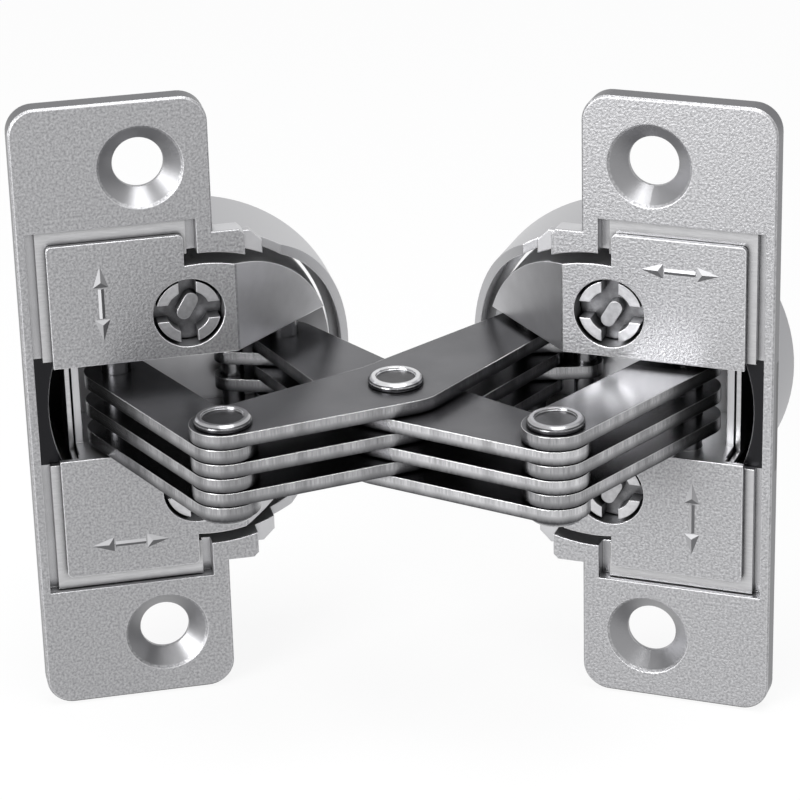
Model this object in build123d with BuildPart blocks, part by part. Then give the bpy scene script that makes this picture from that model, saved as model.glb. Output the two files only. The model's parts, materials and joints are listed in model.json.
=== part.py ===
from build123d import *
import os
from math import cos, radians, sin, sqrt, tan

# Concealed cup hinge: two identical cast halves joined by a riveted stack of links.
# X runs along the left face plate towards the other half, Y goes into the panel and
# Z is up. The origin lies midway between the left plate's screws, on the back face
# that seats in the panel. Depths below are measured from the plate's front face.
# The right half is the left one turned by half a turn about the hinge's mirror line.

os.makedirs("parts", exist_ok=True)

# ---- Face plate and its screws ----
plate_height = 66.0
plate_outer = 13.0            # screw line to the plate's outer edge
plate_inner = 7.0             # screw line to the plate's inner edge
plate_thickness = 2.2
plate_corner = 2.8
plate_edge = 0.2
screw_spacing = 52.0
screw_hole_radius = 2.6
countersink_radius = 4.4
countersink_depth = 1.8

# ---- Recess for the slide frame ----
recess_height = 40.0
recess_border = 1.0           # rim left at the outer edge
recess_lip = 1.7              # rim left at the inner edge

# ---- Cup ----
cup_offset = 5.65             # screw line to the cup's axis
cup_radius = 17.25
cup_wall = 0.95
cup_depth = 14.8
cup_lip_width = 0.9
cup_lip_thickness = 1.0
rim_depth = 4.3               # front of the cup's rim beside the plate
rim_slant_start = 14.6        # screw line to the point where the rim slants back
rim_slant_angle = 45.0
tab_reach = 3.2               # tabs beyond the plate's inner edge
tab_height = 36.8
tab_corner = 0.5
step_reach = 2.1              # lower step beyond the tabs
step_height = 35.0
step_corner = 1.2
step_depth = 2.0
step_thickness = 1.0

# ---- Adjustment ----
travel = 0.7                  # each way, sideways and in height
travel_gap = 0.3              # room left at the end of the travel
corner_gap = 0.2              # room left round the body with both slides at their ends
slide_fit = 0.1
flange_thickness = 0.6
slide_thickness = 0.8
ledge_width = 1.0             # slide frame seen beside the cheek at the outer edge
ledge_height = 0.5            # and above and below the cheeks, with the slide centred
ledge_inner = 0.4
guide_overlap = 2.0           # how far the slide frame reaches under the cheeks
guide_border = 1.9            # band of the slide frame above and below the guide's opening
guide_inner = 2.5             # screw line to the guide's inner face
guide_fit = 0.05
leg_thickness = 0.5
leg_height = 0.6
leg_depth = 10.0

# ---- Carriage ----
cheek_corner = 0.5
slot_height = 10.4
carriage_depth = 13.6
back_wall = 0.9
tongue_start = 9.0            # screw line to the top of the sloping tongue
tongue_angle = 42.0
web_thickness = 0.8
web_front = 4.6
web_gap = 0.2

# ---- Adjusting screws ----
adjuster_offset = 4.15
adjuster_height = 9.9
adjuster_radius = 3.62
adjuster_fit = 0.08
adjuster_depth = 4.0
adjuster_sink = 0.35
crenel_outer = 3.35
crenel_inner = 2.25
crenel_height = 1.9
crenel_slot = 1.8
boss_length = 1.5             # between the centres of its round ends
boss_radius = 0.75
boss_turn = 60.0
boss_shift = 0.4
boss_height = 1.3

# ---- Links ----
fold_at_rest = 148.1          # angle between the two face plates
arm_pivot = (15.3, 8.9)
arm_reach = 21.4              # centre rivet to the pivot in the cup
arm_angle = 36.4              # cup end of the far arm, from the plate's face
elbow_reach = 19.3            # centre rivet to the elbow
elbow_angle = 16.2
leaf_thickness = 1.4
leaf_gap = 0.15
eye_radius = 3.4
bend_radius = 5.3
pin_radius = 1.5
elbow_pin_radius = 1.9
centre_pin_radius = 2.0
running_fit = 0.05
pin_seat = 3.0                # length of pin held in each cheek
elbow_head_radius = 2.9
centre_head_radius = 2.8
head_thickness = 0.7
head_dish = 0.25
head_chamfer = 0.35
head_rim = 0.75
head_gap = 0.08
spacer_radius = 2.2
tie_pin_radius = 1.2
tie_pin_place = (9.9, 10.6)
tie_radius = 1.9

# ---- Worked out from the sizes above ----
recess_depth = flange_thickness + slide_thickness + 2 * slide_fit
recess_left = -plate_outer + recess_border
recess_right = plate_inner - recess_lip
room = travel + travel_gap
bore_radius = cup_radius - cup_wall
body_radius = bore_radius - sqrt(2) * travel - corner_gap
slide_left = recess_left + room
slide_right = recess_right - room
slide_top = recess_height / 2 - slide_fit
cheek_left = slide_left + ledge_width
cheek_right = slide_right - ledge_inner
cheek_top = slide_top - ledge_height - room
guide_left = cheek_left + guide_overlap
guide_top = slide_top - guide_border - room
slot_top = slot_height / 2
web_left = guide_left - guide_fit + web_gap
web_right = web_left + web_thickness
slot_back = carriage_depth - back_wall
leaf_pitch = leaf_thickness + leaf_gap
leaf_count = 6
stack_top = (leaf_count - 1) / 2 * leaf_pitch + leaf_thickness / 2
reach = 2 * cup_radius        # longer than anything that is cut


def at_depth(depth):
    """Sketch plane parallel to the face plate, with X to the right and Z up."""
    return Plane.XZ.offset(plate_thickness - depth)


def at_height(height):
    """Sketch plane seen from above, with X to the right and the depth as its second axis."""
    return Plane((0, -plate_thickness, height))


def span(low_x, high_x, low_z, high_z, mode=Mode.ADD):
    """Rectangle between two corners on an at_depth plane."""
    with Locations(((low_x + high_x) / 2, (low_z + high_z) / 2)):
        Rectangle(high_x - low_x, high_z - low_z, mode=mode)


def save(solid, name):
    solid.label = name
    export_step(solid, f"parts/{name}.step")


def shifted(point, length, angle):
    """Point at a distance and an angle from another, in the XY plane."""
    return (point[0] + length * cos(radians(angle)), point[1] + length * sin(radians(angle)))


def mirrored(point):
    """Place of a left-hand point on the right half."""
    x = point[0] - fold_axis[0]
    y = point[1] - fold_axis[1]
    turn = radians(fold_at_rest)
    return (fold_axis[0] + x * cos(turn) + y * sin(turn), fold_axis[1] + x * sin(turn) - y * cos(turn))


# The arms and the two cups form two parallelograms that share the centre rivet, so the
# right half turns about this line, which no pin passes through.
fold_axis = shifted(arm_pivot, arm_reach, arm_angle)
far_pivot = mirrored(arm_pivot)
centre = shifted(far_pivot, -arm_reach, arm_angle)
left_elbow = shifted(centre, -elbow_reach, elbow_angle)
right_elbow = mirrored(left_elbow)
link_pivot = shifted(arm_pivot, -elbow_reach, elbow_angle)
half_turn = Axis(
    (fold_axis[0], fold_axis[1] - plate_thickness, 0),
    (cos(radians(fold_at_rest / 2)), sin(radians(fold_at_rest / 2)), 0),
)


def save_pair(solid, left_name, right_name):
    """Save a left-hand piece and its twin on the right half."""
    save(solid, left_name)
    with BuildPart() as twin:
        add(solid.rotate(half_turn, 180))
    save(twin.part, right_name)


# ---- Housings ----
with BuildPart() as housing:
    with BuildSketch(at_depth(0)):
        span(-plate_outer, plate_inner, -plate_height / 2, plate_height / 2)
    extrude(amount=-plate_thickness)
    fillet(housing.edges().filter_by(Axis.Y), plate_corner)
    chamfer(housing.faces().sort_by(Axis.Y)[0].edges(), plate_edge)
    # Tabs and lower steps that carry the plate across to the cup.
    with BuildSketch(at_depth(0)) as tabs:
        span(plate_inner - recess_lip, plate_inner + tab_reach, -tab_height / 2, tab_height / 2)
        chamfer(tabs.vertices().group_by(Axis.X)[-1], tab_corner)
    extrude(amount=-plate_thickness)
    with BuildSketch(at_depth(step_depth)) as steps:
        span(plate_inner, plate_inner + tab_reach + step_reach, -step_height / 2, step_height / 2)
        chamfer(steps.vertices().group_by(Axis.X)[-1], step_corner)
    extrude(amount=-step_thickness)
    # Cup ring, open at the back but for a narrow lip.
    with BuildSketch(at_depth(plate_thickness / 2)):
        with Locations((cup_offset, 0)):
            Circle(cup_radius)
    extrude(amount=-(cup_depth - plate_thickness / 2))
    with BuildSketch(at_depth(-plate_thickness)):
        with Locations((cup_offset, 0)):
            Circle(bore_radius)
    extrude(amount=-(cup_depth - cup_lip_thickness + plate_thickness), mode=Mode.SUBTRACT)
    with BuildSketch(at_depth(0)):
        with Locations((cup_offset, 0)):
            Circle(bore_radius - cup_lip_width)
    extrude(amount=-reach, mode=Mode.SUBTRACT)
    # Rim cut low beside the plate, then slanted back to let the arms swing out.
    rim_left = plate_inner + tab_reach + step_reach
    slant = tan(radians(rim_slant_angle))
    with BuildSketch(at_height(0)):
        Polygon(
            (rim_left, -reach),
            (rim_left, rim_depth),
            (rim_slant_start, rim_depth),
            (rim_slant_start + reach, rim_depth + slant * reach),
            (rim_slant_start + reach, -reach),
            align=None,
        )
    extrude(amount=reach, both=True, mode=Mode.SUBTRACT)
    with BuildSketch(at_depth(0)):
        span(plate_inner + tab_reach, plate_inner + reach, -reach, reach)
    extrude(amount=-step_depth, mode=Mode.SUBTRACT)
    # Recess for the slide frame.
    with BuildSketch(at_depth(0)):
        span(recess_left, recess_right, -recess_height / 2, recess_height / 2)
    extrude(amount=-recess_depth, mode=Mode.SUBTRACT)
    # Screw holes with countersinks.
    for side in (-1, 1):
        screw_place = Plane((0, -plate_thickness, side * screw_spacing / 2), z_dir=(0, -1, 0))
        with Locations(screw_place):
            CounterSinkHole(screw_hole_radius, countersink_radius, depth=plate_thickness,
                            counter_sink_angle=90)
save_pair(housing.part, "left_housing", "right_housing")

# ---- Slide frames ----
slide_front = flange_thickness + slide_fit
with BuildPart() as slide_frame:
    with BuildSketch(at_depth(slide_front)):
        span(slide_left, slide_right, -slide_top, slide_top)
        span(guide_left - guide_fit, guide_inner + guide_fit, -guide_top - room, guide_top + room,
             mode=Mode.SUBTRACT)
        span(guide_inner, slide_right, -body_radius - room, body_radius + room, mode=Mode.SUBTRACT)
        span(slide_left, guide_left, -slot_top - leg_height, slot_top + leg_height,
             mode=Mode.SUBTRACT)
    extrude(amount=-slide_thickness)
    # Legs go down into the cup on both sides of the link slot and join behind it.
    leg_right = guide_left - guide_fit
    leg_left = leg_right - leg_thickness
    leg_top = slot_top + 2 * leg_height
    with BuildSketch(at_depth(slide_front)):
        span(leg_left, leg_right, -leg_top, leg_top)
    extrude(amount=-(leg_depth - slide_front))
    with BuildSketch(at_depth(slide_front)):
        span(leg_left, leg_right, -slot_top - leg_height, slot_top + leg_height)
    extrude(amount=-(web_front - slide_front), mode=Mode.SUBTRACT)
save_pair(slide_frame.part, "left_slide_frame", "right_slide_frame")

# ---- Carriages ----
with BuildPart() as carriage:
    # Round body that floats inside the cup.
    with BuildSketch(at_depth(0)):
        with Locations((cup_offset, 0)):
            Circle(body_radius)
        span(web_left, cup_offset + body_radius, -body_radius, body_radius, mode=Mode.INTERSECT)
    extrude(amount=-carriage_depth)
    # Guide that runs in the slide frame, and the two cheeks over it.
    with BuildSketch(at_depth(flange_thickness)):
        span(guide_left, guide_inner, -guide_top, guide_top)
    extrude(amount=-(slide_thickness + slide_fit))
    with BuildSketch(at_depth(0)) as cheeks:
        span(cheek_left, cheek_right, -cheek_top, cheek_top)
        fillet(cheeks.vertices(), cheek_corner)
    extrude(amount=-flange_thickness)
    # Sloping tongues.
    with BuildSketch(at_height(0)):
        Polygon(
            (tongue_start, 0),
            (tongue_start + reach, tan(radians(tongue_angle)) * reach),
            (tongue_start + reach, -reach),
            (tongue_start, -reach),
            align=None,
        )
    extrude(amount=reach, both=True, mode=Mode.SUBTRACT)
    # Link slot, closed by a low web at its outer end.
    with BuildSketch(at_depth(0)):
        span(web_right, cup_offset + reach, -slot_top, slot_top)
    extrude(amount=-slot_back, mode=Mode.SUBTRACT)
    with BuildSketch(at_depth(0)):
        span(cheek_left, web_right, -slot_top, slot_top)
    extrude(amount=-web_front, mode=Mode.SUBTRACT)
    for side in (-1, 1):
        with BuildSketch(at_depth(0)):
            with Locations((adjuster_offset, side * adjuster_height)):
                Circle(adjuster_radius + adjuster_fit)
        extrude(amount=-(adjuster_depth + adjuster_fit), mode=Mode.SUBTRACT)
    for place, radius in (
        (arm_pivot, pin_radius),
        (link_pivot, pin_radius),
        (tie_pin_place, tie_pin_radius),
    ):
        with BuildSketch(at_height(0)):
            with Locations(place):
                Circle(radius + running_fit)
        extrude(amount=slot_top + pin_seat, both=True, mode=Mode.SUBTRACT)
save_pair(carriage.part, "left_carriage", "right_carriage")

# ---- Adjusting screws: a slotted ring round an off-centre boss ----
for side, left_name, right_name in (
    (1, "left_height_screw", "right_height_screw"),
    (-1, "left_side_screw", "right_side_screw"),
):
    with BuildPart() as adjuster:
        with BuildSketch(at_depth(adjuster_sink + crenel_height)):
            with Locations((adjuster_offset, side * adjuster_height)):
                Circle(adjuster_radius)
        extrude(amount=-(adjuster_depth - adjuster_sink - crenel_height))
        with BuildSketch(at_depth(adjuster_sink)):
            with Locations((adjuster_offset, side * adjuster_height)):
                Circle(crenel_outer)
                Circle(crenel_inner, mode=Mode.SUBTRACT)
                Rectangle(2 * crenel_outer, crenel_slot, mode=Mode.SUBTRACT)
                Rectangle(crenel_slot, 2 * crenel_outer, mode=Mode.SUBTRACT)
        extrude(amount=-crenel_height)
        with BuildSketch(at_depth(adjuster_sink + crenel_height - boss_height)):
            with Locations((adjuster_offset, side * adjuster_height + boss_shift)):
                SlotCenterToCenter(boss_length, 2 * boss_radius, rotation=boss_turn)
        extrude(amount=-boss_height)
    save_pair(adjuster.part, left_name, right_name)


def bar(start, start_radius, end, end_radius):
    """Flat bar with round ends."""
    with BuildSketch() as outline:
        with Locations(start):
            Circle(start_radius)
        with Locations(end):
            Circle(end_radius)
        make_hull()
    return outline.sketch


def leaf(level, bars, holes):
    """One stamped leaf. Level 1 is the top of the stack."""
    bottom = stack_top - (level - 1) * leaf_pitch - leaf_thickness
    with BuildPart() as plate:
        with BuildSketch(at_height(bottom)):
            for outline in bars:
                add(outline)
            for place, radius in holes:
                with Locations(place):
                    Circle(radius + running_fit, mode=Mode.SUBTRACT)
        extrude(amount=leaf_thickness)
    return plate.part


# ---- Bent arms: B hangs in the left cup, A in the right cup ----
arm_outline = (
    bar(arm_pivot, eye_radius, centre, bend_radius),
    bar(centre, bend_radius, right_elbow, eye_radius),
)
arm_holes = ((arm_pivot, pin_radius), (centre, centre_pin_radius), (right_elbow, elbow_pin_radius))
for number, level in enumerate((2, 4, 6), start=1):
    save_pair(leaf(level, arm_outline, arm_holes), f"arm_b_leaf_{number}", f"arm_a_leaf_{4 - number}")

# ---- Short straight links from the elbows ----
link_outline = (bar(link_pivot, eye_radius, left_elbow, eye_radius),)
link_holes = ((link_pivot, pin_radius), (left_elbow, elbow_pin_radius))
for number, level in enumerate((2, 4, 6), start=1):
    save_pair(leaf(level, link_outline, link_holes), f"left_link_leaf_{number}",
              f"right_link_leaf_{4 - number}")

# ---- Fixed spacers between the arm leaves in each cup ----
spacer_outline = (bar(arm_pivot, spacer_radius, tie_pin_place, tie_radius),)
spacer_holes = ((arm_pivot, pin_radius), (tie_pin_place, tie_pin_radius))
for number, level in enumerate((3, 5), start=1):
    save_pair(leaf(level, spacer_outline, spacer_holes), f"left_spacer_{number}",
              f"right_spacer_{3 - number}")


def rivet(place, shank_radius, head_radius):
    """Rivet through the whole stack, with a dished head at each end."""
    with BuildPart() as body:
        with BuildSketch(at_height(0)):
            with Locations(place):
                Circle(shank_radius)
        extrude(amount=stack_top + head_gap, both=True)
        for side in (-1, 1):
            with BuildSketch(at_height(side * (stack_top + head_gap))):
                with Locations(place):
                    Circle(head_radius)
            extrude(amount=side * head_thickness)
            outer = body.edges().filter_by(GeomType.CIRCLE).sort_by(Axis.Z)[-1 if side > 0 else 0]
            chamfer(outer, head_chamfer)
            with BuildSketch(at_height(side * (stack_top + head_gap + head_thickness))):
                with Locations(place):
                    Circle(head_radius - head_rim)
            extrude(amount=-side * head_dish, mode=Mode.SUBTRACT)
    return body.part


save(rivet(centre, centre_pin_radius, centre_head_radius), "centre_rivet")
save_pair(rivet(left_elbow, elbow_pin_radius, elbow_head_radius), "left_elbow_rivet",
          "right_elbow_rivet")

# ---- Pins held in the cheeks ----
for place, radius, left_name, right_name in (
    (arm_pivot, pin_radius, "left_arm_pin", "right_arm_pin"),
    (link_pivot, pin_radius, "left_link_pin", "right_link_pin"),
    (tie_pin_place, tie_pin_radius, "left_tie_pin", "right_tie_pin"),
):
    with BuildPart() as pin:
        with BuildSketch(at_height(0)):
            with Locations(place):
                Circle(radius)
        extrude(amount=slot_top + pin_seat - running_fit, both=True)
    save_pair(pin.part, left_name, right_name)
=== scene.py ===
import json

import bmesh
import bpy
import numpy as np
from mathutils import Matrix, Vector


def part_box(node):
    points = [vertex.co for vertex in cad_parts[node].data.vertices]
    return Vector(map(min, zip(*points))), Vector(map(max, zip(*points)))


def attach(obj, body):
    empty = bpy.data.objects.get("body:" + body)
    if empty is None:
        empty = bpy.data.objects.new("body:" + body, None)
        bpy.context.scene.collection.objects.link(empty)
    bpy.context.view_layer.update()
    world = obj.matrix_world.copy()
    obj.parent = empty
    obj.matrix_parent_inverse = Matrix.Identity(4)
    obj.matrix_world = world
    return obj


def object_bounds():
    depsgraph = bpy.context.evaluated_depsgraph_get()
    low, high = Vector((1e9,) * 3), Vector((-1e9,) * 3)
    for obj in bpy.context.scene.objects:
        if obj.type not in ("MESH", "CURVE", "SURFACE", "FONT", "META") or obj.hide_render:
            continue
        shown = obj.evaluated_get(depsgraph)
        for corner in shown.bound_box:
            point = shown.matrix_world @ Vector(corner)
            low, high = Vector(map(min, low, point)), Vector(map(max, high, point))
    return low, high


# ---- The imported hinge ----
# Two cast halves and a riveted stack of links, loaded as they were packed: the nodes by
# name, and the joints, whose places give the pivots.
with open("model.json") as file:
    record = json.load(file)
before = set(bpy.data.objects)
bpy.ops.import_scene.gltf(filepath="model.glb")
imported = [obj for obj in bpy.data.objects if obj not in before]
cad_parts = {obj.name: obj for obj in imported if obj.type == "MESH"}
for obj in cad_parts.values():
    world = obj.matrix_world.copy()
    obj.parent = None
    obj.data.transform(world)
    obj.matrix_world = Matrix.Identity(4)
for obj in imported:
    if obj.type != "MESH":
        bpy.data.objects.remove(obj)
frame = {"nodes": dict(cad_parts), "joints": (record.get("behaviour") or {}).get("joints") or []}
cad_box = [list(map(float, corner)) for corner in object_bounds()]
nodes = frame["nodes"]
joints = {joint["name"]: joint for joint in frame["joints"]}

# ---- Camera ----
# A long lens a little above the hinge, nearly square to the middle between the plates.
# It is placed by the direction in which it looks, and rolled a little about it.
MM = 0.001
LENS = 152.9
SENSOR = 36
DISTANCE = 353.7 * MM
AIM = Vector((26.03, -3.635, -1.86)) * MM
FORWARD_YAW = 11.576
FORWARD_PITCH = -23.376
ROLL = -1.548
SHIFT = (-4.76 / 800, 1.5 / 800)
NEAR = 10 * MM
yaw, pitch, roll = np.radians((FORWARD_YAW, FORWARD_PITCH, ROLL))
forward = Vector((np.sin(yaw) * np.cos(pitch), np.cos(yaw) * np.cos(pitch), np.sin(pitch)))
level = Vector((np.cos(yaw), -np.sin(yaw), 0))
upright = level.cross(forward)
sideways = np.cos(roll) * level + np.sin(roll) * upright
upward = -np.sin(roll) * level + np.cos(roll) * upright
camera = bpy.data.objects.new("camera", bpy.data.cameras.new("camera"))
bpy.context.scene.collection.objects.link(camera)
camera.data.lens = LENS
camera.data.sensor_width = SENSOR
camera.data.shift_x, camera.data.shift_y = SHIFT
camera.data.clip_start = NEAR
turned = Matrix((sideways, upward, -forward)).transposed()
camera.matrix_world = Matrix.Translation(AIM - DISTANCE * forward) @ turned.to_4x4()
bpy.context.scene.camera = camera
bpy.context.scene.view_settings.view_transform = "Standard"


# ---- Studio ----
# A white surround that the camera and the metal both see, a large lamp on the left that
# lights the right half more than the left, a weaker one above, and a white floor.
def colour(hex_value):
    """sRGB hex string to a linear RGBA colour."""
    channels = np.array([int(hex_value[i:i + 2], 16) for i in (1, 3, 5)]) / 255
    linear = np.where(channels <= 0.04045, channels / 12.92, ((channels + 0.055) / 1.055) ** 2.4)
    return (*map(float, linear), 1.0)


def add_node(tree, kind, inputs=None, **settings):
    """Add a node. Inputs go by name or number: a value, a hex colour, or a socket to link from."""
    new = tree.nodes.new(kind)
    for name, value in settings.items():
        setattr(new, name, value)
    for name, value in (inputs or {}).items():
        if isinstance(value, bpy.types.NodeSocket):
            tree.links.new(value, new.inputs[name])
        else:
            new.inputs[name].default_value = colour(value) if isinstance(value, str) else value
    return new


SURROUND_FILL = "#9C9C9E"
world = bpy.data.worlds.new("studio")
bpy.context.scene.world = world
world.use_nodes = True
sky = world.node_tree
sky.nodes.clear()
path = add_node(sky, "ShaderNodeLightPath").outputs
seen = add_node(sky, "ShaderNodeMath", {0: path["Is Camera Ray"], 1: path["Is Glossy Ray"]},
                operation="MAXIMUM").outputs[0]
seen = add_node(sky, "ShaderNodeMath", {0: seen, 1: path["Is Transmission Ray"]},
                operation="MAXIMUM").outputs[0]
fill = add_node(sky, "ShaderNodeBackground", {"Color": SURROUND_FILL, "Strength": 1.0})
white = add_node(sky, "ShaderNodeBackground", {"Color": "#FFFFFF", "Strength": 1.0})
mixed = add_node(sky, "ShaderNodeMixShader", {0: seen, 1: fill.outputs[0], 2: white.outputs[0]})
add_node(sky, "ShaderNodeOutputWorld", {"Surface": mixed.outputs[0]})

SOFTBOX_SIZE = 0.30
SOFTBOX_AIM = Vector((0.03, 0, 0))
SOFTBOXES = {
    "left_softbox": (Vector((-0.45, -0.35, 0.20)), 3.8),
    "top_softbox": (Vector((0.05, -0.10, 0.50)), 1.8),
}
for name, (place, watts) in SOFTBOXES.items():
    lamp = bpy.data.lights.new(name, "AREA")
    lamp.shape = "SQUARE"
    lamp.size = SOFTBOX_SIZE
    lamp.energy = watts
    softbox = bpy.data.objects.new(name, lamp)
    bpy.context.scene.collection.objects.link(softbox)
    facing = (SOFTBOX_AIM - place).to_track_quat("-Z", "Y")
    softbox.matrix_world = Matrix.Translation(place) @ facing.to_matrix().to_4x4()

FLOOR_GAP = 0.2 * MM
FLOOR_HALF = 3.0
FLOOR_GLOW = 0.9
floor_height = cad_box[0][2] - FLOOR_GAP
outline = np.array([(-1, -1), (1, -1), (1, 1), (-1, 1)]) * FLOOR_HALF
floor_mesh = bpy.data.meshes.new("floor")
floor_mesh.from_pydata(np.column_stack((outline, np.full(4, floor_height))).tolist(), [], [(0, 1, 2, 3)])
floor = bpy.data.objects.new("floor", floor_mesh)
bpy.context.scene.collection.objects.link(floor)


def new_material(name):
    """Empty node material and its tree."""
    material = bpy.data.materials.new(name)
    material.use_nodes = True
    material.node_tree.nodes.clear()
    return material, material.node_tree


# Matt white paper. To the camera and in reflections it is mostly plain white, which leaves
# only a faint shadow under the hinge.
paper, tree = new_material("white_paper")
path = add_node(tree, "ShaderNodeLightPath").outputs
matt = add_node(tree, "ShaderNodeBsdfDiffuse", {"Color": "#F4F4F4"})
glow = add_node(tree, "ShaderNodeEmission", {"Color": "#FFFFFF", "Strength": 1.0})
seen = add_node(tree, "ShaderNodeMath", {0: path["Is Camera Ray"], 1: path["Is Glossy Ray"]},
                operation="MAXIMUM").outputs[0]
share = add_node(tree, "ShaderNodeMath", {0: seen, 1: FLOOR_GLOW}, operation="MULTIPLY").outputs[0]
mixed = add_node(tree, "ShaderNodeMixShader", {0: share, 1: matt.outputs[0], 2: glow.outputs[0]})
add_node(tree, "ShaderNodeOutputMaterial", {"Surface": mixed.outputs[0]})
floor_mesh.materials.append(paper)


# ---- Housings ----
# Pressure die-cast zinc with a nickel plating. The face that shows was blasted to an even
# grain; the recess, the cup and the hidden back kept the smooth skin of the die.
PLATE_THICKNESS = 2.2 * MM
SCREW_SPACING = 52.0 * MM
CUP_AXIS = 5.65 * MM          # from the screw line, towards the other half

# The right half is the left one after half a turn about an axis in the middle of the fold,
# so one mapping gives both the same pattern.
arm_pin = np.array(joints["fold"]["pos_m"])
centre_rivet = np.array(joints["arms_cross"]["pos_m"])
far_pin = np.array(joints["right_cup_turn"]["pos_m"])
fold_axis = (arm_pin + far_pin - centre_rivet) * (1, 1, 0)
right_along = np.array(joints["right_side_adjust"]["axis"])
fold_angle = float(np.arctan2(right_along[1], right_along[0]))
HALF_TURN = np.array([
    [np.cos(fold_angle), np.sin(fold_angle), 0.0],
    [np.sin(fold_angle), -np.cos(fold_angle), 0.0],
    [0.0, 0.0, -1.0],
])


def half_coordinates(tree, side):
    """Object coordinates as seen from the left half: X along the plate, Y the depth from its
    front face, Z along the screws. The right half is brought there by the half turn."""
    place = add_node(tree, "ShaderNodeTexCoord").outputs["Object"]
    if side == "right":
        place = add_node(tree, "ShaderNodeMapping", {
            "Vector": place,
            "Location": (fold_axis - HALF_TURN @ fold_axis).tolist(),
            "Rotation": (np.pi, 0.0, fold_angle),
        }).outputs[0]
    return add_node(tree, "ShaderNodeMapping", {
        "Vector": place, "Location": (0, PLATE_THICKNESS, 0),
    }).outputs[0]


def edge_mask(tree, radius):
    """Rounded normal, and a mask from its angle to the true normal: 1 on edges, 0 on flats."""
    rounded = add_node(tree, "ShaderNodeBevel", {"Radius": radius}, samples=6).outputs[0]
    true = add_node(tree, "ShaderNodeNewGeometry").outputs["True Normal"]
    agree = add_node(tree, "ShaderNodeVectorMath", {0: rounded, 1: true},
                     operation="DOT_PRODUCT").outputs["Value"]
    edge = add_node(tree, "ShaderNodeMapRange", {"Value": agree, "From Min": 0.995, "From Max": 0.90})
    return rounded, edge.outputs[0]


def crevice_mask(tree, reach, shut=0.40):
    """0 in a gap or a corner whose open share is below shut, rising to 1 in the open."""
    open_share = add_node(tree, "ShaderNodeAmbientOcclusion", {"Distance": reach}, samples=6).outputs["AO"]
    return add_node(tree, "ShaderNodeMapRange", {
        "Value": open_share, "From Min": shut, "From Max": shut + 0.48,
    }).outputs[0]


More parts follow.
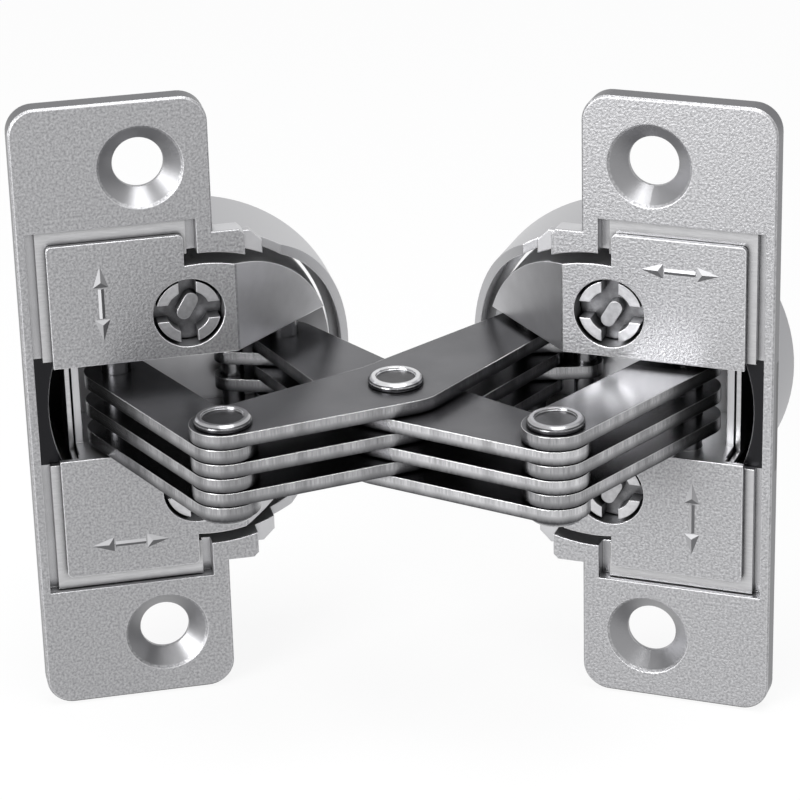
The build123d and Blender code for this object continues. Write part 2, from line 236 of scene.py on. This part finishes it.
def housing_skin(tree, place, smooth_skin):
    """Smooth skin with painted shade where a housing shows darker: in the cup towards the plate's outer
    side, on the plate's outer faces, and as a painted shadow inside beside the link slot. The countersinks
    are darker too."""
    PLATE_END = 30.45 * MM
    PLATE_SIDE = -12.9 * MM
    BACK_MARGIN = 0.04 * MM
    SINK_RADIUS = 4.5 * MM
    CUP_MIDWALL = 16.8 * MM
    CUP_SHADED_END, CUP_LIT_END = -12 * MM, 18 * MM
    SLOT_SIDE = -9.2 * MM
    SLOT_HALF_HEIGHT = 5.95 * MM
    SLOT_MIDDEPTH = 7.5 * MM
    SLOT_HALF_DEPTH = 6.3 * MM
    parted = add_node(tree, "ShaderNodeSeparateXYZ", {0: place}).outputs
    along, depth = parted["X"], parted["Y"]
    height = add_node(tree, "ShaderNodeMath", {0: parted["Z"]}, operation="ABSOLUTE").outputs[0]
    in_plate = add_node(tree, "ShaderNodeMath", {0: depth, 1: PLATE_THICKNESS - BACK_MARGIN},
                        operation="LESS_THAN").outputs[0]

    # Painted shade: the inside of the cup goes darker towards the plate's outer side.
    inward = add_node(tree, "ShaderNodeMapRange", {
        "Value": along, "From Min": CUP_SHADED_END, "From Max": CUP_LIT_END,
    }).outputs[0]
    shaded_cup_skin = add_node(tree, "ShaderNodeMix", {0: inward, 6: "#98989B", 7: "#B8B8BA"},
                        data_type="RGBA").outputs[2]
    behind = add_node(tree, "ShaderNodeMath", {0: depth, 1: PLATE_THICKNESS},
                      operation="GREATER_THAN").outputs[0]
    skin = add_node(tree, "ShaderNodeMix", {0: behind, 6: smooth_skin, 7: shaded_cup_skin},
                    data_type="RGBA").outputs[2]

    # Painted shade on the plate's end and side faces.
    end_face = add_node(tree, "ShaderNodeMath", {0: height, 1: PLATE_END},
                        operation="GREATER_THAN").outputs[0]
    side_face = add_node(tree, "ShaderNodeMath", {0: along, 1: PLATE_SIDE},
                         operation="LESS_THAN").outputs[0]
    rim = add_node(tree, "ShaderNodeMath", {0: end_face, 1: side_face}, operation="MAXIMUM").outputs[0]
    rim = add_node(tree, "ShaderNodeMath", {0: rim, 1: in_plate}, operation="MULTIPLY").outputs[0]
    skin = add_node(tree, "ShaderNodeMix", {0: rim, 6: skin, 7: "#67676A"}, data_type="RGBA").outputs[2]

    above_hole = add_node(tree, "ShaderNodeMath", {0: height, 1: SCREW_SPACING / 2},
                          operation="SUBTRACT").outputs[0]
    from_hole = add_node(tree, "ShaderNodeCombineXYZ", {"X": along, "Z": above_hole}).outputs[0]
    radius = add_node(tree, "ShaderNodeVectorMath", {0: from_hole}, operation="LENGTH").outputs["Value"]
    sink = add_node(tree, "ShaderNodeMath", {0: radius, 1: SINK_RADIUS}, operation="LESS_THAN").outputs[0]
    sink = add_node(tree, "ShaderNodeMath", {0: sink, 1: in_plate}, operation="MULTIPLY").outputs[0]
    skin = add_node(tree, "ShaderNodeMix", {0: sink, 6: skin, 7: "#929294"}, data_type="RGBA").outputs[2]

    # Painted shadow: the inside of the cup beside the link slot is coloured near black.
    beside_axis = add_node(tree, "ShaderNodeMath", {0: along, 1: CUP_AXIS}, operation="SUBTRACT").outputs[0]
    from_axis = add_node(tree, "ShaderNodeCombineXYZ", {"X": beside_axis, "Z": height}).outputs[0]
    radius = add_node(tree, "ShaderNodeVectorMath", {0: from_axis}, operation="LENGTH").outputs["Value"]
    in_cup = add_node(tree, "ShaderNodeMath", {0: radius, 1: CUP_MIDWALL}, operation="LESS_THAN").outputs[0]
    slot_shadow = add_node(tree, "ShaderNodeMath", {0: in_cup, 1: in_plate}, operation="MAXIMUM").outputs[0]
    outward = add_node(tree, "ShaderNodeMath", {0: along, 1: SLOT_SIDE}, operation="LESS_THAN").outputs[0]
    beside = add_node(tree, "ShaderNodeMath", {0: height, 1: SLOT_HALF_HEIGHT},
                      operation="LESS_THAN").outputs[0]
    sunk = add_node(tree, "ShaderNodeMath", {0: depth, 1: SLOT_MIDDEPTH, 2: SLOT_HALF_DEPTH},
                    operation="COMPARE").outputs[0]
    for within in (outward, beside, sunk):
        slot_shadow = add_node(tree, "ShaderNodeMath", {0: slot_shadow, 1: within}, operation="MULTIPLY").outputs[0]
    return add_node(tree, "ShaderNodeMix", {0: slot_shadow, 6: skin, 7: "#2A2A2C"}, data_type="RGBA").outputs[2]


def cast_zinc(side, part):
    """Nickel-plated zinc casting: grey grain at the blasted face and a smoother, slightly cloudy skin
    behind it, with a painted highlight on the edges and painted shade in gaps and corners."""
    GRAIN = 0.26 * MM         # one dimple of the blasted face
    PATCH = 2.6 * MM
    BLAST_RELIEF = 0.06 * MM
    BLAST_DEPTH = 0.26 * MM
    BLAST_FADE = 0.04 * MM
    EDGE_RADIUS = 0.16 * MM
    SHADE_REACH = 1.0 * MM
    material, tree = new_material(f"nickel_plated_zinc_{side}_{part}")
    place = half_coordinates(tree, side)
    depth = add_node(tree, "ShaderNodeSeparateXYZ", {0: place}).outputs["Y"]
    blasted = add_node(tree, "ShaderNodeMapRange", {
        "Value": depth, "From Min": BLAST_DEPTH + BLAST_FADE, "From Max": BLAST_DEPTH - BLAST_FADE,
    }).outputs[0]
    grain = add_node(tree, "ShaderNodeTexNoise", {
        "Vector": place, "Scale": 1 / GRAIN, "Detail": 2.0, "Roughness": 0.6,
    }).outputs[0]
    patch = add_node(tree, "ShaderNodeTexNoise", {
        "Vector": place, "Scale": 1 / PATCH, "Detail": 2.0, "Roughness": 0.5,
    }).outputs[0]
    normal, edge = edge_mask(tree, EDGE_RADIUS)
    contrast = add_node(tree, "ShaderNodeMapRange", {
        "Value": grain, "From Min": 0.34, "From Max": 0.66,
    }).outputs[0]
    rough_skin = add_node(tree, "ShaderNodeMix", {0: contrast, 6: "#909092", 7: "#B6B6B8"},
                          data_type="RGBA").outputs[2]
    smooth_skin = add_node(tree, "ShaderNodeMix", {0: patch, 6: "#B6B6B8", 7: "#D0D0D2"},
                           data_type="RGBA").outputs[2]
    if part == "housing":
        smooth_skin = housing_skin(tree, place, smooth_skin)
    # Painted highlight on the edges, brighter on the carriage.
    edge_highlight = "#F0F0F2" if part == "carriage" else "#DADADC"
    open_air = crevice_mask(tree, SHADE_REACH, 0.22)
    skin = add_node(tree, "ShaderNodeMix", {0: blasted, 6: smooth_skin, 7: rough_skin},
                    data_type="RGBA").outputs[2]
    skin = add_node(tree, "ShaderNodeMix", {0: edge, 6: skin, 7: edge_highlight}, data_type="RGBA").outputs[2]
    # Painted shade in gaps and corners.
    skin = add_node(tree, "ShaderNodeMix", {0: open_air, 6: "#38383A", 7: skin},
                    data_type="RGBA").outputs[2]
    amount = add_node(tree, "ShaderNodeMapRange", {
        "Value": blasted, "To Min": 0.05, "To Max": 0.85,
    }).outputs[0]
    bump = add_node(tree, "ShaderNodeBump", {
        "Height": grain, "Strength": amount, "Distance": BLAST_RELIEF, "Normal": normal,
    }).outputs[0]
    rough = add_node(tree, "ShaderNodeMapRange", {
        "Value": blasted, "To Min": 0.36, "To Max": 0.46,
    }).outputs[0]
    shader = add_node(tree, "ShaderNodeBsdfPrincipled", {
        "Base Color": skin, "Metallic": 1.0, "Roughness": rough, "Normal": bump,
    })
    add_node(tree, "ShaderNodeOutputMaterial", {"Surface": shader.outputs[0]})
    return material


def dress(node_name, material):
    """Give a CAD node one material."""
    nodes[node_name].data.materials.clear()
    nodes[node_name].data.materials.append(material)


for side in ("left", "right"):
    dress(f"{side}_housing", cast_zinc(side, "housing"))


# ---- Slide frames ----
# Thin stamped frames in the recesses, plated and smooth, with light scrape marks along the way they slide,
# a painted highlight on their edges and painted shade in their gaps.
def rubbed_plate(side):
    """Nickel-plated sheet steel: bright and smooth, with fine marks drawn out along the plate, a painted
    highlight on the edges and painted shade in gaps.
    """
    MARK = 0.18 * MM
    STRETCH = 0.12
    MARK_RELIEF = 0.02 * MM
    EDGE_RADIUS = 0.1 * MM
    SHADE_REACH = 0.9 * MM
    material, tree = new_material(f"rubbed_nickel_{side}")
    place = half_coordinates(tree, side)
    drawn = add_node(tree, "ShaderNodeMapping", {"Vector": place, "Scale": (STRETCH, 1.0, 1.0)}).outputs[0]
    marks = add_node(tree, "ShaderNodeTexNoise", {
        "Vector": drawn, "Scale": 1 / MARK, "Detail": 2.0,
    }).outputs[0]
    normal, edge = edge_mask(tree, EDGE_RADIUS)
    open_air = crevice_mask(tree, SHADE_REACH)
    skin = add_node(tree, "ShaderNodeMix", {0: marks, 6: "#A9A9AB", 7: "#D2D2D3"},
                    data_type="RGBA").outputs[2]
    # Painted highlight on the edges.
    skin = add_node(tree, "ShaderNodeMix", {0: edge, 6: skin, 7: "#E0E0E0"}, data_type="RGBA").outputs[2]
    # Painted shade in gaps and corners.
    skin = add_node(tree, "ShaderNodeMix", {0: open_air, 6: "#343436", 7: skin},
                    data_type="RGBA").outputs[2]
    bump = add_node(tree, "ShaderNodeBump", {
        "Height": marks, "Strength": 0.1, "Distance": MARK_RELIEF, "Normal": normal,
    }).outputs[0]
    shader = add_node(tree, "ShaderNodeBsdfPrincipled", {
        "Base Color": skin, "Metallic": 1.0, "Roughness": 0.3, "Normal": bump,
    })
    add_node(tree, "ShaderNodeOutputMaterial", {"Surface": shader.outputs[0]})
    return material


for side in ("left", "right"):
    dress(f"{side}_slide_frame", rubbed_plate(side))

# ---- Carriages ----
# Die-cast like the housings: blasted cheeks flush with the plate, smooth sloping tongues
# and a plain slot for the links.
for side in ("left", "right"):
    dress(f"{side}_carriage", cast_zinc(side, "carriage"))


# ---- Dust shields ----
# Thin steel crescents laid on the lip of each cup and coloured near black as painted shade. They close the
# back of the cup beside the carriage, outside the reach of the links.
SHIELD_RADIUS = 16.2 * MM
SHIELD_EDGE = -4.5 * MM       # straight side, tucked behind the carriage
SHIELD_FRONT = 13.66 * MM     # depth behind the plate's face
SHIELD_THICKNESS = 0.1 * MM
SHIELD_STEPS = 48


def shade_black_steel():
    """Sheet steel coloured near black as painted shade, with a faint cloudy tone."""
    CLOUD = 2.0 * MM
    material, tree = new_material("shade_black_shield_steel")
    place = add_node(tree, "ShaderNodeTexCoord").outputs["Object"]
    cloud = add_node(tree, "ShaderNodeTexNoise", {
        "Vector": place, "Scale": 1 / CLOUD, "Detail": 3.0,
    }).outputs[0]
    skin = add_node(tree, "ShaderNodeMix", {0: cloud, 6: "#141416", 7: "#2C2C2E"},
                    data_type="RGBA").outputs[2]
    shader = add_node(tree, "ShaderNodeBsdfPrincipled", {
        "Base Color": skin, "Metallic": 1.0, "Roughness": 0.5,
    })
    add_node(tree, "ShaderNodeOutputMaterial", {"Surface": shader.outputs[0]})
    return material


def to_right(points):
    """Points of the left half carried to the right half by the half turn."""
    return (points - fold_axis) @ HALF_TURN.T + fold_axis


def shield_shell():
    """Arc of the cup's circle, closed by its chord, at the front and the back depth."""
    half_arc = np.arccos((SHIELD_EDGE - CUP_AXIS) / SHIELD_RADIUS)
    arc = np.linspace(half_arc, 2 * np.pi - half_arc, SHIELD_STEPS)
    rim = np.column_stack((
        CUP_AXIS + SHIELD_RADIUS * np.cos(arc),
        np.full(SHIELD_STEPS, SHIELD_FRONT - PLATE_THICKNESS),
        SHIELD_RADIUS * np.sin(arc),
    ))
    corners = np.vstack((rim, rim + (0, SHIELD_THICKNESS, 0)))
    around = np.arange(SHIELD_STEPS)
    following = np.roll(around, -1)
    sides = np.column_stack((around, following, following + SHIELD_STEPS, around + SHIELD_STEPS))
    return corners, [around.tolist(), (around[::-1] + SHIELD_STEPS).tolist(), *sides.tolist()]


def add_shell(name, corners, faces, material, body):
    """Piece from closed shells, its faces turned outwards, riding on a body."""
    mesh = bpy.data.meshes.new(name)
    mesh.from_pydata(corners.tolist(), [], faces)
    shell = bmesh.new()
    shell.from_mesh(mesh)
    bmesh.ops.recalc_face_normals(shell, faces=shell.faces)
    shell.to_mesh(mesh)
    shell.free()
    mesh.materials.append(material)
    piece = bpy.data.objects.new(name, mesh)
    bpy.context.scene.collection.objects.link(piece)
    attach(piece, body)


shield_steel = shade_black_steel()
shield_corners, shield_faces = shield_shell()
for side, corners in (("left", shield_corners), ("right", to_right(shield_corners))):
    add_shell(f"{side}_dust_shield", corners, shield_faces, shield_steel, f"{side}_housing")


# ---- Direction marks ----
# Double-headed arrows cast proud of the cheeks, one beside each adjusting screw. Each points the way its
# screw moves the cup. Their flanks carry painted light: a painted highlight on those that face up and to
# the left, painted shade on the others.
ARROW_LENGTH = 9.0 * MM
HEAD_LENGTH = 2.9 * MM
HEAD_WIDTH = 2.0 * MM
SHAFT_WIDTH = 0.75 * MM
ARROW_RISE = 0.12 * MM
ARROW_ROOT = 0.03 * MM        # sunk into the cheek
ARROW_PEAK = 0.7 * MM         # from the head's back edge to its highest point
ARROWS = {                    # centre on the left plate and direction, each along and up
    "height_arrow": ((-4.7 * MM, 11.85 * MM), (0, 1)),
    "side_arrow": ((-3.25 * MM, -15.1 * MM), (1, 0)),
}
LIGHT_SIDE = (-0.55, 0.0, 0.83)


def arrow_shells():
    """A shaft with a ridge along its middle and a pointed head at each end, three closed
    shells. Each row of corners is a place along, across and above the cheek."""
    half = ARROW_LENGTH / 2
    back = half - HEAD_LENGTH
    shaft = np.array([
        (-back, -SHAFT_WIDTH / 2, -ARROW_ROOT), (back, -SHAFT_WIDTH / 2, -ARROW_ROOT),
        (back, SHAFT_WIDTH / 2, -ARROW_ROOT), (-back, SHAFT_WIDTH / 2, -ARROW_ROOT),
        (-back, 0, ARROW_RISE), (back, 0, ARROW_RISE),
    ])
    head = np.array([
        (back, -HEAD_WIDTH / 2, -ARROW_ROOT), (back, HEAD_WIDTH / 2, -ARROW_ROOT),
        (half, 0, -ARROW_ROOT), (back + ARROW_PEAK, 0, ARROW_RISE),
    ])
    shaft_faces = [(0, 1, 2, 3), (0, 1, 5, 4), (2, 3, 4, 5), (1, 2, 5), (3, 0, 4)]
    head_faces = np.array([(0, 1, 2), (0, 1, 3), (1, 2, 3), (2, 0, 3)])
    first, second = head_faces + len(shaft), head_faces + len(shaft) + len(head)
    return np.vstack((shaft, head * (-1, 1, 1), head)), [*shaft_faces, *first.tolist(), *second.tolist()]


def painted_light_flank(name, painted_dark, bright, level):
    """Cast zinc with painted light: a painted highlight on the flanks that face up and to the left and
    painted shade on the others. Level is how far the cheek itself faces that way."""
    FADE = 0.12
    material, tree = new_material(name)
    facing = add_node(tree, "ShaderNodeNewGeometry").outputs["True Normal"]
    share = add_node(tree, "ShaderNodeVectorMath", {0: facing, 1: LIGHT_SIDE},
                     operation="DOT_PRODUCT").outputs["Value"]
    painted_highlight = add_node(tree, "ShaderNodeMapRange", {
        "Value": share, "From Min": level - FADE, "From Max": level + FADE,
    }).outputs[0]
    skin = add_node(tree, "ShaderNodeMix", {0: painted_highlight, 6: painted_dark, 7: bright}, data_type="RGBA").outputs[2]
    shader = add_node(tree, "ShaderNodeBsdfPrincipled", {
        "Base Color": skin, "Metallic": 1.0, "Roughness": 0.55,
    })
    add_node(tree, "ShaderNodeOutputMaterial", {"Surface": shader.outputs[0]})
    return material


# Lit and shaded copies: each half's marks get their own painted light for the way its cheek faces.
mark_zinc = {
    "left": painted_light_flank("raised_zinc_left", "#69696B", "#BEBEC0", 0.0),
    "right": painted_light_flank("raised_zinc_right", "#6C6C6E", "#B0B0B2", 0.27),
}
arrow_corners, arrow_faces = arrow_shells()
ahead, beside, rise = np.split(arrow_corners, 3, axis=1)
for name, (centre, way) in ARROWS.items():
    flat = np.array(centre) + ahead * way + beside * (-way[1], way[0])
    placed = np.column_stack((flat[:, 0], -PLATE_THICKNESS - rise[:, 0], flat[:, 1]))
    for side, corners in (("left", placed), ("right", to_right(placed))):
        add_shell(f"{side}_{name}", corners, arrow_faces, mark_zinc[side],
                  f"{side}_carriage")


# ---- Links and spacers ----
# Leaves blanked from steel sheet and plated. The faces are coloured dark as a painted reflection, the
# sheared edges bright with painted highlights and painted shade, with fine streaks across the thickness
# from the punch.
def sheared_steel(name, face_dark, face_light, cut_dark="#7A7A7C", cut_light="#C8C8CA", reflection_centre=None):
    """Plated sheet steel: faces coloured dark as a painted reflection, and edges with a painted highlight
    along the top of each leaf and painted shade below it, crossed by broad painted dark bands. A painted
    reflection makes one place on the faces bright, and gaps get painted shade."""
    STREAK = 0.22 * MM
    STREAK_STRETCH = 0.08     # streaks run through the thickness
    STREAK_RELIEF = 0.02 * MM
    REFLECTION_BAND = 2.6 * MM
    BLOTCH = 6.0 * MM
    REFLECTION_REACH = 11.0 * MM
    REFLECTION_CORE = 2.0 * MM
    LEAF_PITCH = 1.55 * MM
    STACK_TOP = 4.575 * MM
    EDGE_RADIUS = 0.14 * MM
    SHADE_REACH = 1.2 * MM
    material, tree = new_material(name)
    place = add_node(tree, "ShaderNodeTexCoord").outputs["Object"]
    normal, edge = edge_mask(tree, EDGE_RADIUS)
    true = add_node(tree, "ShaderNodeNewGeometry").outputs["True Normal"]
    upright = add_node(tree, "ShaderNodeSeparateXYZ", {0: true}).outputs["Z"]
    flat = add_node(tree, "ShaderNodeMath", {0: upright}, operation="ABSOLUTE").outputs[0]

    blotch = add_node(tree, "ShaderNodeTexNoise", {
        "Vector": place, "Scale": 1 / BLOTCH, "Detail": 3.0,
    }).outputs[0]
    face = add_node(tree, "ShaderNodeMix", {0: blotch, 6: face_dark, 7: face_light},
                    data_type="RGBA").outputs[2]
    # Painted reflection: a bright place on the faces round the given centre.
    if reflection_centre is not None:
        away = add_node(tree, "ShaderNodeVectorMath", {0: place, 1: reflection_centre},
                        operation="DISTANCE").outputs["Value"]
        painted_highlight = add_node(tree, "ShaderNodeMapRange", {
            "Value": away, "From Min": REFLECTION_REACH, "From Max": REFLECTION_CORE,
        }, interpolation_type="SMOOTHSTEP").outputs[0]
        face = add_node(tree, "ShaderNodeMix", {0: painted_highlight, 6: face, 7: "#C6C6C8"},
                        data_type="RGBA").outputs[2]

    drawn = add_node(tree, "ShaderNodeMapping", {
        "Vector": place, "Scale": (1.0, 1.0, STREAK_STRETCH),
    }).outputs[0]
    streak = add_node(tree, "ShaderNodeTexNoise", {
        "Vector": drawn, "Scale": 1 / STREAK, "Detail": 2.0,
    }).outputs[0]
    # Painted reflection: broad dark bands across the edges.
    broad = add_node(tree, "ShaderNodeTexNoise", {
        "Vector": drawn, "Scale": 1 / REFLECTION_BAND, "Detail": 1.0,
    }).outputs[0]
    painted_dark = add_node(tree, "ShaderNodeMapRange", {
        "Value": broad, "From Min": 0.46, "From Max": 0.66, "To Max": 0.38,
    }).outputs[0]
    cut = add_node(tree, "ShaderNodeMix", {0: streak, 6: cut_dark, 7: cut_light},
                   data_type="RGBA").outputs[2]
    cut = add_node(tree, "ShaderNodeMix", {0: painted_dark, 6: cut, 7: "#48484A"}, data_type="RGBA").outputs[2]

    # Painted light on each leaf's edge: the share of the leaf's thickness that lies above a point sets a
    # painted highlight at the top and painted shade lower down.
    height = add_node(tree, "ShaderNodeSeparateXYZ", {0: place}).outputs["Z"]
    below_top = add_node(tree, "ShaderNodeMath", {0: STACK_TOP, 1: height}, operation="SUBTRACT").outputs[0]
    leaves_down = add_node(tree, "ShaderNodeMath", {0: below_top, 1: LEAF_PITCH},
                           operation="DIVIDE").outputs[0]
    in_leaf = add_node(tree, "ShaderNodeMath", {0: leaves_down}, operation="FRACT").outputs[0]
    wander = add_node(tree, "ShaderNodeMath", {0: streak, 1: 0.25, 2: in_leaf},
                      operation="MULTIPLY_ADD").outputs[0]
    painted_lower_shade = add_node(tree, "ShaderNodeMapRange", {
        "Value": wander, "From Min": 0.55, "From Max": 1.0,
    }).outputs[0]
    side_skin = add_node(tree, "ShaderNodeMix", {0: painted_lower_shade, 6: cut, 7: "#4E4E50"},
                         data_type="RGBA").outputs[2]

    # Painted highlight along the top edge of each leaf.
    top_edge_highlight = add_node(tree, "ShaderNodeMath", {0: edge, 1: 0.75}, operation="MULTIPLY").outputs[0]
    above_painted_lower_shade = add_node(tree, "ShaderNodeMath", {0: 1.0, 1: painted_lower_shade}, operation="SUBTRACT").outputs[0]
    top_edge_highlight = add_node(tree, "ShaderNodeMath", {0: top_edge_highlight, 1: above_painted_lower_shade}, operation="MULTIPLY").outputs[0]
    open_air = crevice_mask(tree, SHADE_REACH)
    # Painted reflection: the faces that lie flat take the dark face colour, the sides the edge colours.
    skin = add_node(tree, "ShaderNodeMix", {0: flat, 6: side_skin, 7: face}, data_type="RGBA").outputs[2]
    skin = add_node(tree, "ShaderNodeMix", {0: top_edge_highlight, 6: skin, 7: "#E4E4E4"},
                    data_type="RGBA").outputs[2]
    # Painted shade in gaps between the leaves.
    skin = add_node(tree, "ShaderNodeMix", {0: open_air, 6: "#2C2C2E", 7: skin},
                    data_type="RGBA").outputs[2]
    bump = add_node(tree, "ShaderNodeBump", {
        "Height": streak, "Strength": 0.12, "Distance": STREAK_RELIEF, "Normal": normal,
    }).outputs[0]
    shader = add_node(tree, "ShaderNodeBsdfPrincipled", {
        "Base Color": skin, "Metallic": 1.0, "Roughness": 0.27, "Normal": bump,
    })
    add_node(tree, "ShaderNodeOutputMaterial", {"Surface": shader.outputs[0]})
    return material


# The painted reflection on the right links lies part way from the elbow to the pin.
REFLECTION_SHARE = 0.55              # of the way from the elbow to the pin in the cup
elbow = np.mean(np.array(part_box("right_elbow_rivet")), axis=0)
link_pin = np.array(joints["right_links_turn"]["pos_m"])
reflection_place = (elbow + REFLECTION_SHARE * (link_pin - elbow)).tolist()
leaf_steel = sheared_steel("plated_leaf_steel", "#505053", "#747477")
# Lit copy: arm B's edges are lighter as painted light from the lamp on the left.
lit_arm_b_steel = sheared_steel("lit_plated_arm_steel", "#505053", "#747477", "#A4A4A6", "#E8E8EA")
right_link_steel = sheared_steel("painted_reflection_leaf_steel", "#505053", "#747477", reflection_centre=reflection_place)
spacer_steel = sheared_steel("plated_spacer_steel", "#6E6E70", "#8E8E90")
for leaf in ("leaf_1", "leaf_2", "leaf_3"):
    dress(f"arm_a_{leaf}", leaf_steel)
    dress(f"arm_b_{leaf}", lit_arm_b_steel)
    dress(f"left_link_{leaf}", leaf_steel)
    dress(f"right_link_{leaf}", right_link_steel)
for side in ("left", "right"):
    dress(f"{side}_spacer_1", spacer_steel)
    dress(f"{side}_spacer_2", spacer_steel)


# ---- Rivets and pins ----
# Cold-headed steel, plated. The rivet heads carry a painted highlight on the rim and edges and are darker
# in the dish.
def headed_steel(name, dish, rim):
    """Plated rivet steel: a painted highlight on the rim of the head and on its edges, and dark in its
    dish.
    """
    RIM_LEVEL = 5.18 * MM
    RIM_FADE = 0.05 * MM
    SMEAR = 1.2 * MM
    EDGE_RADIUS = 0.2 * MM
    material, tree = new_material(name)
    place = add_node(tree, "ShaderNodeTexCoord").outputs["Object"]
    normal, edge = edge_mask(tree, EDGE_RADIUS)
    height = add_node(tree, "ShaderNodeSeparateXYZ", {0: place}).outputs["Z"]
    height = add_node(tree, "ShaderNodeMath", {0: height}, operation="ABSOLUTE").outputs[0]
    raised = add_node(tree, "ShaderNodeMapRange", {
        "Value": height, "From Min": RIM_LEVEL - RIM_FADE, "From Max": RIM_LEVEL,
    }).outputs[0]
    # Painted highlight on the rim and the edges.
    painted_rim_highlight = add_node(tree, "ShaderNodeMath", {0: raised, 1: edge}, operation="MAXIMUM").outputs[0]
    smear = add_node(tree, "ShaderNodeTexNoise", {
        "Vector": place, "Scale": 1 / SMEAR, "Detail": 2.0,
    }).outputs[0]
    skin = add_node(tree, "ShaderNodeMix", {0: smear, 6: dish, 7: "#58585A"}, data_type="RGBA").outputs[2]
    skin = add_node(tree, "ShaderNodeMix", {0: painted_rim_highlight, 6: skin, 7: rim}, data_type="RGBA").outputs[2]
    shader = add_node(tree, "ShaderNodeBsdfPrincipled", {
        "Base Color": skin, "Metallic": 1.0, "Roughness": 0.22, "Normal": normal,
    })
    add_node(tree, "ShaderNodeOutputMaterial", {"Surface": shader.outputs[0]})
    return material


elbow_steel = headed_steel("headed_elbow_steel", "#323234", "#A8A8AA")
pin_steel = headed_steel("drawn_pin_steel", "#88888A", "#D8D8D8")
dress("centre_rivet", headed_steel("headed_centre_steel", "#2C2C2E", "#D8D8DA"))
for side in ("left", "right"):
    dress(f"{side}_elbow_rivet", elbow_steel)
    for pin in ("arm_pin", "link_pin", "tie_pin"):
        dress(f"{side}_{pin}", pin_steel)


# ---- Adjusting screws ----
# Zinc screws with a ring of four teeth round an off-centre cam. The teeth are bright at the face with a
# painted highlight on their edges; painted shade darkens the well inside them.
def well_shaded_zinc(side):
    """Plated zinc: bright at the face, with painted shade that darkens it the deeper it lies."""
    TOOTH_TOP = 0.45 * MM
    WELL = 1.7 * MM
    SMEAR = 0.5 * MM
    EDGE_RADIUS = 0.14 * MM
    SHADE_REACH = 0.8 * MM
    material, tree = new_material(f"well_shaded_zinc_{side}")
    place = half_coordinates(tree, side)
    depth = add_node(tree, "ShaderNodeSeparateXYZ", {0: place}).outputs["Y"]
    smear = add_node(tree, "ShaderNodeTexNoise", {
        "Vector": place, "Scale": 1 / SMEAR, "Detail": 2.0,
    }).outputs[0]
    normal, edge = edge_mask(tree, EDGE_RADIUS)
    open_air = crevice_mask(tree, SHADE_REACH)
    # Painted shade: darker the deeper it lies.
    sunk = add_node(tree, "ShaderNodeMapRange", {
        "Value": depth, "From Min": TOOTH_TOP, "From Max": WELL,
    }).outputs[0]
    bright = add_node(tree, "ShaderNodeMix", {0: smear, 6: "#ACACAE", 7: "#DADADC"},
                      data_type="RGBA").outputs[2]
    # Painted highlight on the edges.
    bright = add_node(tree, "ShaderNodeMix", {0: edge, 6: bright, 7: "#E4E4E6"},
                      data_type="RGBA").outputs[2]
    painted_dark = add_node(tree, "ShaderNodeMix", {0: smear, 6: "#58585A", 7: "#8E8E90"},
                    data_type="RGBA").outputs[2]
    skin = add_node(tree, "ShaderNodeMix", {0: sunk, 6: bright, 7: painted_dark}, data_type="RGBA").outputs[2]
    # Painted shade in gaps and corners.
    skin = add_node(tree, "ShaderNodeMix", {0: open_air, 6: "#323234", 7: skin},
                    data_type="RGBA").outputs[2]
    shader = add_node(tree, "ShaderNodeBsdfPrincipled", {
        "Base Color": skin, "Metallic": 1.0, "Roughness": 0.38, "Normal": normal,
    })
    add_node(tree, "ShaderNodeOutputMaterial", {"Surface": shader.outputs[0]})
    return material


for side in ("left", "right"):
    screw_zinc = well_shaded_zinc(side)
    dress(f"{side}_height_screw", screw_zinc)
    dress(f"{side}_side_screw", screw_zinc)
